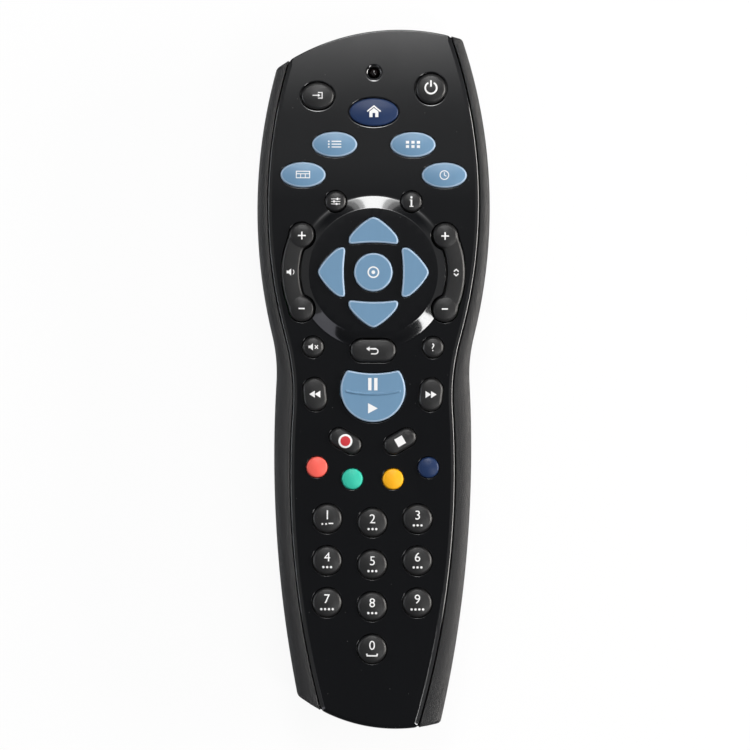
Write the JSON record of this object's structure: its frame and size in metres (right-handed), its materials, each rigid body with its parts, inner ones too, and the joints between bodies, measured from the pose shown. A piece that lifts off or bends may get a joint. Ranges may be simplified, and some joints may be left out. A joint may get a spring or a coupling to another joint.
{
  "type": "tv remote control",
  "caption": "Waisted black television remote control with a gloss face, a raised round of navigation keys, two curved rockers and a number pad.",
  "frame": {"origin": "on the flat back, midway along the remote on its middle line", "axes": "+X to the right across the face, +Y towards the emitter end, +Z out of the face"},
  "size_m": [0.0698, 0.21, 0.0272],
  "materials": {
    "face": "high gloss black",
    "housing": "fine matt dark grey",
    "key_dark": "satin near black",
    "key_light": "satin light blue",
    "key_navy": "satin dark blue",
    "key_red": "satin red",
    "key_green": "satin green",
    "key_yellow": "satin amber",
    "window": "dark see-through red",
    "board": "green lacquer",
    "rubber": "matt moulded",
    "chip": "matt black",
    "metal": "nickel plated",
    "cell": "printed film, plain"
  },
  "bodies": {
    "case": {"front_shell": "face", "rear_shell": "housing", "ir_window": "window", "ir_emitters": "window", "indicator_led": "window", "circuit_board": "board", "keypad_web": "rubber", "main_chip": "chip", "resonator": "metal", "capacitor": "metal", "chip_resistors": "chip", "battery_cells": "cell", "contact_springs": "metal", "contact_plates": "metal", "shell_screws": "metal"},
    "battery_door": {"battery_door": "housing"},
    "rocker_volume": {"rocker_volume": "key_dark"},
    "rocker_channel": {"rocker_channel": "key_dark"},
    "key_play_pause": {"key_play_pause": "key_navy"},
    "key_apps": {"key_apps": "key_light"},
    "key_back": {"key_back": "key_dark"},
    "key_blue": {"key_blue": "key_navy"},
    "key_down": {"key_down": "key_light"},
    "key_forward": {"key_forward": "key_dark"},
    "key_green": {"key_green": "key_green"},
    "key_guide": {"key_guide": "key_light"},
    "key_help": {"key_help": "key_dark"},
    "key_home": {"key_home": "key_navy"},
    "key_info": {"key_info": "key_dark"},
    "key_left": {"key_left": "key_light"},
    "key_library": {"key_library": "key_light"},
    "key_mute": {"key_mute": "key_dark"},
    "key_planner": {"key_planner": "key_light"},
    "key_power": {"key_power": "key_dark"},
    "key_record": {"key_record": "key_dark"},
    "key_red": {"key_red": "key_red"},
    "key_rewind": {"key_rewind": "key_dark"},
    "key_right": {"key_right": "key_light"},
    "key_select": {"key_select": "key_light"},
    "key_setup": {"key_setup": "key_dark"},
    "key_source": {"key_source": "key_dark"},
    "key_stop": {"key_stop": "key_dark"},
    "key_up": {"key_up": "key_light"},
    "key_yellow": {"key_yellow": "key_yellow"},
    "key_0": {"key_0": "key_dark"},
    "key_1": {"key_1": "key_dark"},
    "key_2": {"key_2": "key_dark"},
    "key_3": {"key_3": "key_dark"},
    "key_4": {"key_4": "key_dark"},
    "key_5": {"key_5": "key_dark"},
    "key_6": {"key_6": "key_dark"},
    "key_7": {"key_7": "key_dark"},
    "key_8": {"key_8": "key_dark"},
    "key_9": {"key_9": "key_dark"}
  },
  "joints": [
    {"name": "door_lift", "type": "slide", "parent": "case", "child": "battery_door", "axis": [0, 0, -1], "range_m": [0, 0.04]},
    {"name": "rocker_volume_rock", "type": "hinge", "parent": "case", "child": "rocker_volume", "pos_m": [0, 0.032, 0.0222], "axis": [1, 0, 0], "range_deg": [-2.5, 2.5], "stiffness_Nm_per_rad": 0.3},
    {"name": "rocker_channel_rock", "type": "hinge", "parent": "case", "child": "rocker_channel", "pos_m": [0, 0.032, 0.0222], "axis": [1, 0, 0], "range_deg": [-2.5, 2.5], "stiffness_Nm_per_rad": 0.3},
    {"name": "key_play_pause_rock", "type": "hinge", "parent": "case", "child": "key_play_pause", "pos_m": [0, -0.0032, 0.0222], "axis": [1, 0, 0], "range_deg": [-2.5, 2.5], "stiffness_Nm_per_rad": 0.3},
    {"name": "key_apps_press", "type": "slide", "parent": "case", "child": "key_apps", "axis": [0, -0.0348, -0.9994], "range_m": [0, 0.001], "stiffness_N_per_m": 300},
    {"name": "key_back_press", "type": "slide", "parent": "case", "child": "key_back", "axis": [0, 0, -1], "range_m": [0, 0.001], "stiffness_N_per_m": 300},
    {"name": "key_blue_press", "type": "slide", "parent": "case", "child": "key_blue", "axis": [0, 0, -1], "range_m": [0, 0.001], "stiffness_N_per_m": 300},
    {"name": "key_down_press", "type": "slide", "parent": "case", "child": "key_down", "axis": [0, 0, -1], "range_m": [0, 0.001], "stiffness_N_per_m": 300},
    {"name": "key_forward_press", "type": "slide", "parent": "case", "child": "key_forward", "axis": [0, 0, -1], "range_m": [0, 0.001], "stiffness_N_per_m": 300},
    {"name": "key_green_press", "type": "slide", "parent": "case", "child": "key_green", "axis": [0, 0, -1], "range_m": [0, 0.001], "stiffness_N_per_m": 300},
    {"name": "key_guide_press", "type": "slide", "parent": "case", "child": "key_guide", "axis": [0, -0.0153, -0.9999], "range_m": [0, 0.001], "stiffness_N_per_m": 300},
    {"name": "key_help_press", "type": "slide", "parent": "case", "child": "key_help", "axis": [0, 0, -1], "range_m": [0, 0.001], "stiffness_N_per_m": 300},
    {"name": "key_home_press", "type": "slide", "parent": "case", "child": "key_home", "axis": [0, -0.0555, -0.9985], "range_m": [0, 0.001], "stiffness_N_per_m": 300},
    {"name": "key_info_press", "type": "slide", "parent": "case", "child": "key_info", "axis": [0, 0, -1], "range_m": [0, 0.001], "stiffness_N_per_m": 300},
    {"name": "key_left_press", "type": "slide", "parent": "case", "child": "key_left", "axis": [0, 0, -1], "range_m": [0, 0.001], "stiffness_N_per_m": 300},
    {"name": "key_library_press", "type": "slide", "parent": "case", "child": "key_library", "axis": [0, -0.0348, -0.9994], "range_m": [0, 0.001], "stiffness_N_per_m": 300},
    {"name": "key_mute_press", "type": "slide", "parent": "case", "child": "key_mute", "axis": [0, 0, -1], "range_m": [0, 0.001], "stiffness_N_per_m": 300},
    {"name": "key_planner_press", "type": "slide", "parent": "case", "child": "key_planner", "axis": [0, -0.0153, -0.9999], "range_m": [0, 0.001], "stiffness_N_per_m": 300},
    {"name": "key_power_press", "type": "slide", "parent": "case", "child": "key_power", "axis": [0, -0.0706, -0.9975], "range_m": [0, 0.001], "stiffness_N_per_m": 300},
    {"name": "key_record_press", "type": "slide", "parent": "case", "child": "key_record", "axis": [0, 0, -1], "range_m": [0, 0.001], "stiffness_N_per_m": 300},
    {"name": "key_red_press", "type": "slide", "parent": "case", "child": "key_red", "axis": [0, 0, -1], "range_m": [0, 0.001], "stiffness_N_per_m": 300},
    {"name": "key_rewind_press", "type": "slide", "parent": "case", "child": "key_rewind", "axis": [0, 0, -1], "range_m": [0, 0.001], "stiffness_N_per_m": 300},
    {"name": "key_right_press", "type": "slide", "parent": "case", "child": "key_right", "axis": [0, 0, -1], "range_m": [0, 0.001], "stiffness_N_per_m": 300},
    {"name": "key_select_press", "type": "slide", "parent": "case", "child": "key_select", "axis": [0, 0, -1], "range_m": [0, 0.001], "stiffness_N_per_m": 300},
    {"name": "key_setup_press", "type": "slide", "parent": "case", "child": "key_setup", "axis": [0, 0, -1], "range_m": [0, 0.001], "stiffness_N_per_m": 300},
    {"name": "key_source_press", "type": "slide", "parent": "case", "child": "key_source", "axis": [0, -0.0657, -0.9978], "range_m": [0, 0.001], "stiffness_N_per_m": 300},
    {"name": "key_stop_press", "type": "slide", "parent": "case", "child": "key_stop", "axis": [0, 0, -1], "range_m": [0, 0.001], "stiffness_N_per_m": 300},
    {"name": "key_up_press", "type": "slide", "parent": "case", "child": "key_up", "axis": [0, 0, -1], "range_m": [0, 0.001], "stiffness_N_per_m": 300},
    {"name": "key_yellow_press", "type": "slide", "parent": "case", "child": "key_yellow", "axis": [0, 0, -1], "range_m": [0, 0.001], "stiffness_N_per_m": 300},
    {"name": "key_0_press", "type": "slide", "parent": "case", "child": "key_0", "axis": [0, 0, -1], "range_m": [0, 0.001], "stiffness_N_per_m": 300},
    {"name": "key_1_press", "type": "slide", "parent": "case", "child": "key_1", "axis": [0, 0, -1], "range_m": [0, 0.001], "stiffness_N_per_m": 300},
    {"name": "key_2_press", "type": "slide", "parent": "case", "child": "key_2", "axis": [0, 0, -1], "range_m": [0, 0.001], "stiffness_N_per_m": 300},
    {"name": "key_3_press", "type": "slide", "parent": "case", "child": "key_3", "axis": [0, 0, -1], "range_m": [0, 0.001], "stiffness_N_per_m": 300},
    {"name": "key_4_press", "type": "slide", "parent": "case", "child": "key_4", "axis": [0, 0, -1], "range_m": [0, 0.001], "stiffness_N_per_m": 300},
    {"name": "key_5_press", "type": "slide", "parent": "case", "child": "key_5", "axis": [0, 0, -1], "range_m": [0, 0.001], "stiffness_N_per_m": 300},
    {"name": "key_6_press", "type": "slide", "parent": "case", "child": "key_6", "axis": [0, 0, -1], "range_m": [0, 0.001], "stiffness_N_per_m": 300},
    {"name": "key_7_press", "type": "slide", "parent": "case", "child": "key_7", "axis": [0, 0, -1], "range_m": [0, 0.001], "stiffness_N_per_m": 300},
    {"name": "key_8_press", "type": "slide", "parent": "case", "child": "key_8", "axis": [0, 0, -1], "range_m": [0, 0.001], "stiffness_N_per_m": 300},
    {"name": "key_9_press", "type": "slide", "parent": "case", "child": "key_9", "axis": [0, 0, -1], "range_m": [0, 0.001], "stiffness_N_per_m": 300}
  ]
}
